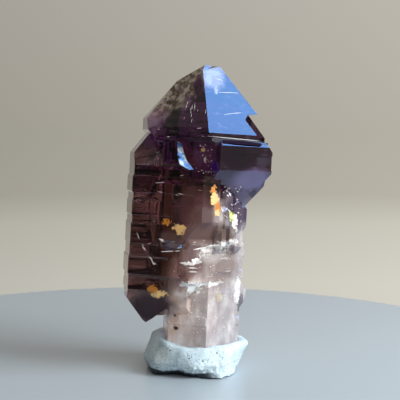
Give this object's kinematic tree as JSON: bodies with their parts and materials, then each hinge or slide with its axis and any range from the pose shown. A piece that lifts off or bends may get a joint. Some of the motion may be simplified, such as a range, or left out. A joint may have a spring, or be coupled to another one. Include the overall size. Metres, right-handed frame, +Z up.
{
  "type": "amethyst crystal",
  "caption": "Amethyst sceptre: a dark purple quartz head grown round a pale quartz stem, stood upright in a lump of mounting putty.",
  "frame": {"origin": "centre of the flat face the putty rests on", "axes": "+Z up along the crystal's length; -Y towards the front, the side the picture shows; +X to its right"},
  "size_m": [0.0286, 0.0267, 0.0578],
  "materials": {
    "amethyst": "natural glassy crystal faces, clear to deep purple",
    "mounting_putty": "matt, thumbed smooth above and rough below"
  },
  "bodies": {
    "root": {"crystal": "amethyst", "putty": "mounting_putty"}
  },
  "joints": []
}
